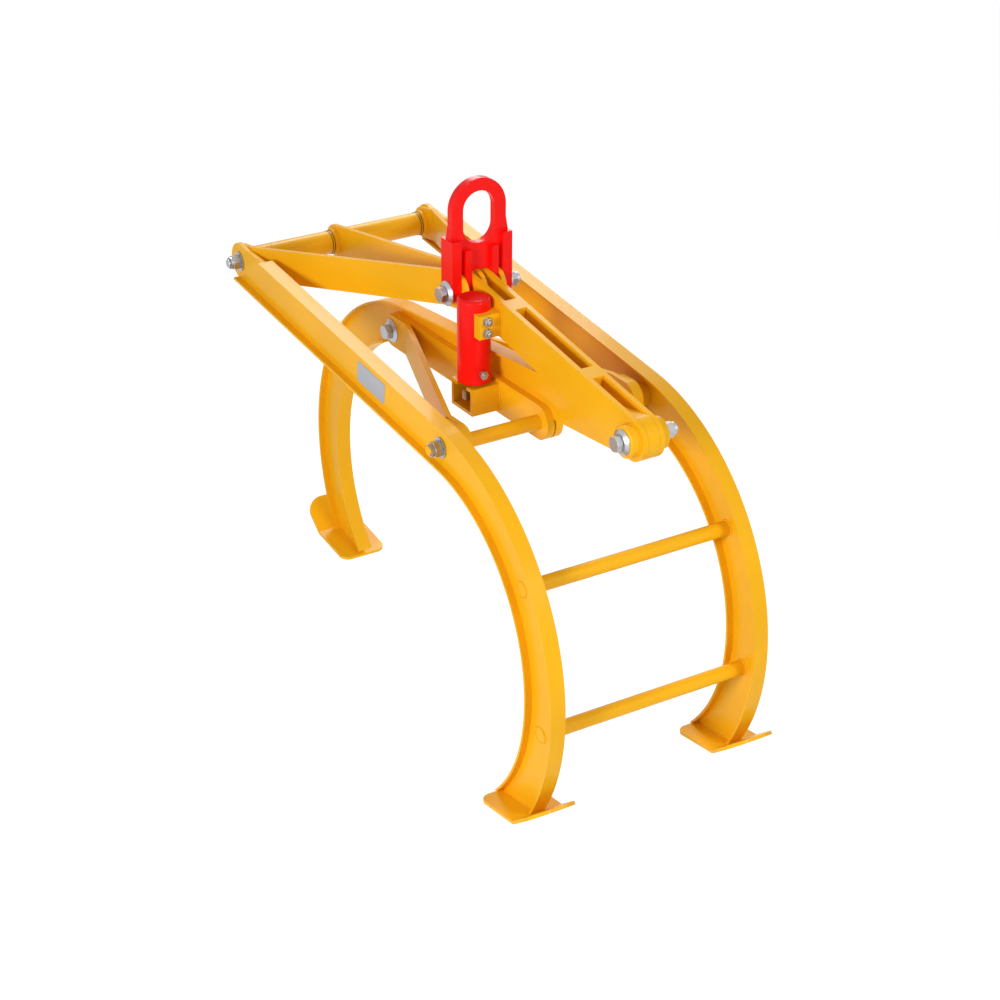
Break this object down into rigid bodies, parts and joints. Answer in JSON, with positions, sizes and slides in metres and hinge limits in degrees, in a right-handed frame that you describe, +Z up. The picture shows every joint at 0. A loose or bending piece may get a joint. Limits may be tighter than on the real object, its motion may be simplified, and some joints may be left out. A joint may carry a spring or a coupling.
{
  "type": "rock grapple",
  "caption": "Rock grapple for stone setting: curved double arm and centre arm on a four-bar lifting link, with suspension eye and automatic hold-open latch.",
  "frame": {"origin": "centre of the bottom of the part's box, on the ground under the grab", "axes": "+X along the grab from the centre arm's foot to the double arm's feet, +Y to the far side, +Z up"},
  "size_m": [1.7218, 0.737, 1.3613],
  "materials": {
    "yellow_paint": "gloss",
    "red_paint": "gloss",
    "zinc_steel": "satin",
    "dark_steel": "satin"
  },
  "bodies": {
    "double_arm": {"near_beam": "yellow_paint", "far_beam": "yellow_paint", "upper_rung": "yellow_paint", "lower_rung": "yellow_paint", "near_foot": "yellow_paint", "far_foot": "yellow_paint"},
    "centre_arm": {"centre_beam": "yellow_paint", "centre_beam_end": "yellow_paint", "centre_foot": "yellow_paint", "near_centre_plate": "yellow_paint", "far_centre_plate": "yellow_paint", "near_brace": "yellow_paint", "far_brace": "yellow_paint", "near_ear_pad": "yellow_paint", "far_ear_pad": "yellow_paint", "main_cross_bar": "yellow_paint", "main_pivot_washers": "zinc_steel", "main_pivot_nuts": "zinc_steel", "latch_box_sides": "yellow_paint", "latch_box_floor": "yellow_paint", "latch_box_lid": "yellow_paint", "brace_bolt": "zinc_steel", "brace_washers": "zinc_steel", "brace_nut": "zinc_steel"},
    "left_link": {"left_link_tube": "yellow_paint", "left_link_rings": "yellow_paint", "near_link_plate": "yellow_paint", "far_link_plate": "yellow_paint", "middle_link_plate": "yellow_paint", "upper_pivot_stubs": "zinc_steel", "upper_pivot_washers": "zinc_steel", "upper_pivot_nuts": "zinc_steel"},
    "right_link": {"near_pull_plate": "yellow_paint", "far_pull_plate": "yellow_paint", "pull_spacers": "yellow_paint", "link_pin_collars": "yellow_paint", "link_pin": "zinc_steel", "link_pin_washers": "zinc_steel", "link_pin_nut": "zinc_steel", "latch_bracket": "yellow_paint", "latch_tube": "red_paint", "latch_guide_bush": "dark_steel", "latch_clamp_screws": "zinc_steel", "latch_lock_screw": "zinc_steel"},
    "eye": {"eye_plate": "red_paint", "outer_fork_legs": "red_paint", "inner_fork_legs": "red_paint", "eye_pin": "zinc_steel", "eye_pin_washers": "zinc_steel", "eye_pin_nut": "zinc_steel", "eye_pin_bushes": "zinc_steel"},
    "latch_hook": {"latch_rod": "dark_steel", "latch_tee": "zinc_steel"}
  },
  "joints": [
    {"name": "grab_hinge", "type": "hinge", "parent": "double_arm", "child": "centre_arm", "pos_m": [0.32845, 0, 0.8283], "axis": [0, -1, 0], "range_deg": [0, 40]},
    {"name": "left_link_hinge", "type": "hinge", "parent": "double_arm", "child": "left_link", "pos_m": [-0.74055, 0, 0.9513], "axis": [0, -1, 0], "range_deg": [0, 28.7]},
    {"name": "right_link_hinge", "type": "hinge", "parent": "centre_arm", "child": "right_link", "pos_m": [0.73545, 0, 0.9473], "axis": [0, -1, 0], "range_deg": [-48.3, 0]},
    {"name": "eye_swing", "type": "hinge", "parent": "left_link", "child": "eye", "pos_m": [0.00445, 0, 1.0703], "axis": [0, -1, 0], "range_deg": [-25, 25]},
    {"name": "hook_turn", "type": "hinge", "parent": "right_link", "child": "latch_hook", "pos_m": [0.10945, -0.073, 0.8213], "axis": [0, 0, 1], "range_deg": [0, 90]}
  ],
  "couplings": [
    {"joint": "left_link_hinge", "follows": "grab_hinge", "ratio": 0.7155},
    {"joint": "right_link_hinge", "follows": "grab_hinge", "ratio": -1.2075}
  ]
}
